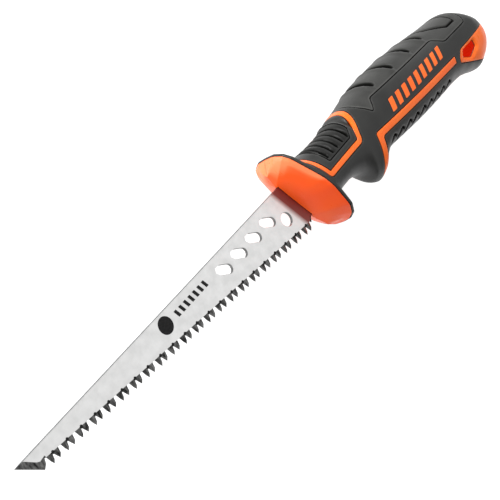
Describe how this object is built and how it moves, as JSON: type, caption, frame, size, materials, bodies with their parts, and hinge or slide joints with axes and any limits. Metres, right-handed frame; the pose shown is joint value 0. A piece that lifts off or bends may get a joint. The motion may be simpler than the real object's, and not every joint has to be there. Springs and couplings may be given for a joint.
{
  "type": "drywall saw",
  "caption": "Fixed-blade jab saw for plasterboard: tapered toothed steel blade with lightening holes in a straight soft-grip handle with a finger hook, blade guard and hang hole",
  "frame": {"origin": "centre of the saw's bounding box, in the blade's middle plane", "axes": "+X along the blade to its tip, +Y towards the toothed edge, +Z out of one flat side; the saw lies flat"},
  "size_m": [0.2866, 0.0372, 0.0264],
  "materials": {
    "blade_steel": "ground and tempered, satin, with darker ground teeth",
    "pin_steel": "plain drawn steel",
    "core_plastic": "semi-gloss orange moulding",
    "grip_rubber": "fine matt texture, charcoal black",
    "inlay_rubber": "fine matt texture, a little paler than the grip"
  },
  "bodies": {
    "root": {"blade": "blade_steel", "tang_pin_front": "pin_steel", "tang_pin_rear": "pin_steel", "core_near": "core_plastic", "core_far": "core_plastic", "grip": "grip_rubber", "thumb_pad": "grip_rubber", "thumb_inlay": "inlay_rubber", "top_panel": "inlay_rubber"}
  },
  "joints": []
}
